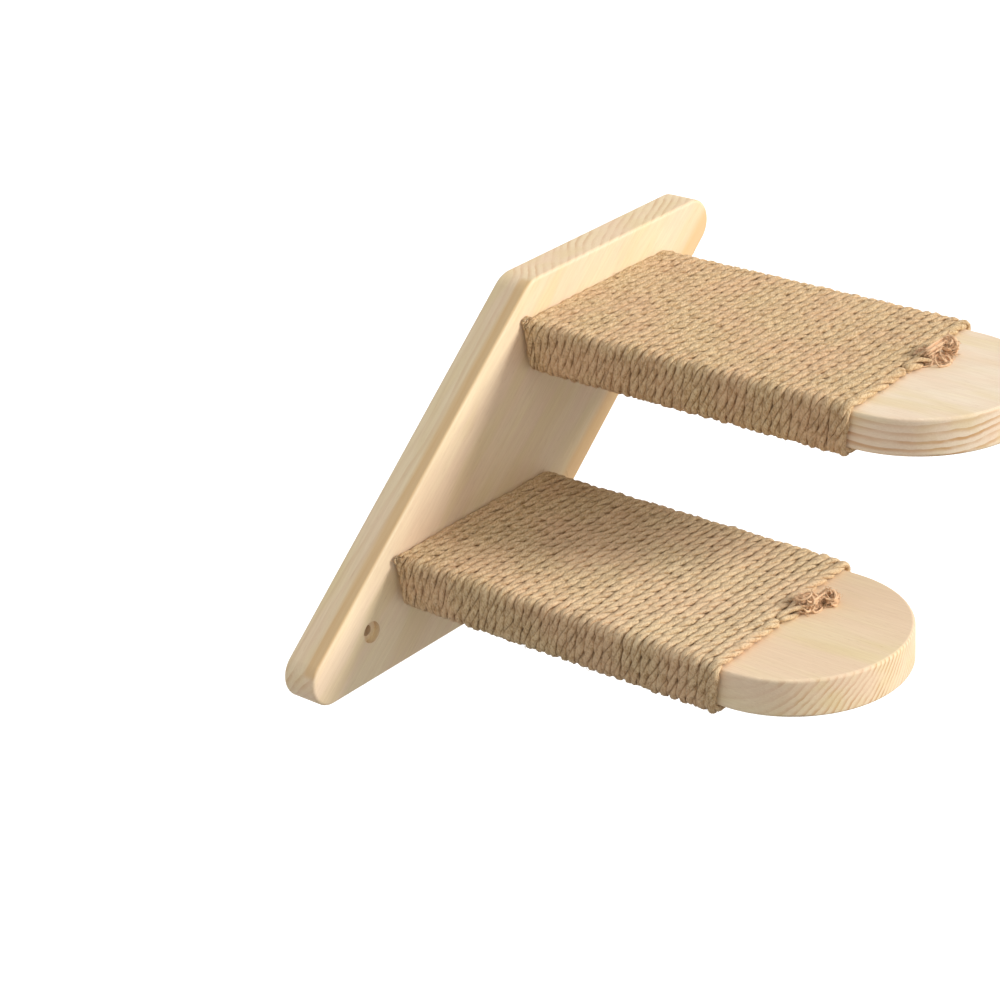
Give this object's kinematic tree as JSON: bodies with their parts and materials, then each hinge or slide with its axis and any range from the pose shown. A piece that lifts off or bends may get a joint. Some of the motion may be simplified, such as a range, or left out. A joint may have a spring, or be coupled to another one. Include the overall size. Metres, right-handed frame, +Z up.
{
  "type": "wall-mounted cat stair",
  "caption": "Wall-mounted cat stair: a leaning pine backboard with level treads stepping up to the right, round-ended and wound with jute rope.",
  "frame": {"origin": "centre of the backboard's outline, on its back face, where it meets the wall", "axes": "+X to the right along the wall as seen from the room, +Y into the wall, -Y out into the room, +Z up; the treads stand out along -Y"},
  "size_m": [0.2886, 0.241, 0.1468],
  "materials": {
    "pine": "sanded, unvarnished",
    "jute": "rough twisted fibre",
    "steel": "zinc-plated"
  },
  "bodies": {
    "root": {"wall_board": "pine", "lower_tread": "pine", "upper_tread": "pine", "lower_rope": "jute", "upper_rope": "jute", "lower_tread_screws": "steel", "upper_tread_screws": "steel"}
  },
  "joints": []
}
